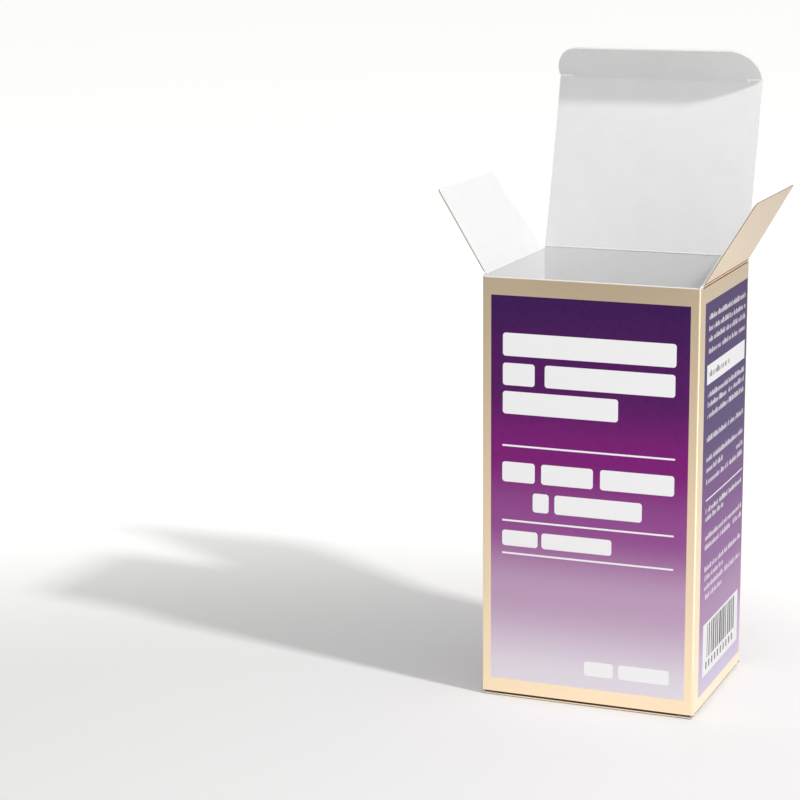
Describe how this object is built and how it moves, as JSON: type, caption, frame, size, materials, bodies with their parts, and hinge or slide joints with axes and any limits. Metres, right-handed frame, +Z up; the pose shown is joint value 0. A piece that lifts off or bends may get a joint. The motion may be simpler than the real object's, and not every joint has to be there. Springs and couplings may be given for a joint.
{
  "type": "folding carton",
  "caption": "Upright paperboard carton for tablets with a straight tuck lid and dust flaps standing open, a gold border round shaded purple panels, and a plain white inside.",
  "frame": {"origin": "middle of the base, at the level of the closed bottom lid's outer face", "axes": "+Z up the carton, -Y out of the front wall, +X to the right seen from the front"},
  "size_m": [0.0958, 0.0696, 0.1912],
  "materials": {
    "printed_board": "semi-gloss",
    "foil_board": "satin",
    "liner_board": "matte"
  },
  "bodies": {
    "body": {"carton_body": "printed_board"},
    "base": {"bottom_lid": "foil_board"},
    "lid": {"top_lid": "liner_board"},
    "tuck": {"tuck_flap": "liner_board"},
    "left_flap": {"left_dust_flap": "foil_board"},
    "right_flap": {"right_dust_flap": "foil_board"}
  },
  "joints": [
    {"name": "lid_hinge", "type": "hinge", "parent": "body", "child": "lid", "pos_m": [0, 0.02725, 0.12975], "axis": [-1, 0, 0], "range_deg": [-104.4, 74.4]},
    {"name": "tuck_hinge", "type": "hinge", "parent": "lid", "child": "tuck", "pos_m": [0, 0.04169, 0.18147], "axis": [-1, 0, 0], "range_deg": [-36, 56]},
    {"name": "left_flap_hinge", "type": "hinge", "parent": "body", "child": "left_flap", "pos_m": [-0.03275, 0, 0.12895], "axis": [0, -1, 0], "range_deg": [-121.5, 58.5]},
    {"name": "right_flap_hinge", "type": "hinge", "parent": "body", "child": "right_flap", "pos_m": [0.03275, 0, 0.12895], "axis": [0, 1, 0], "range_deg": [-121.5, 58.5]},
    {"name": "bottom_lid_hinge", "type": "hinge", "parent": "body", "child": "base", "pos_m": [0, 0.02725, 0.00025], "axis": [1, 0, 0], "range_deg": [0, 100]}
  ]
}
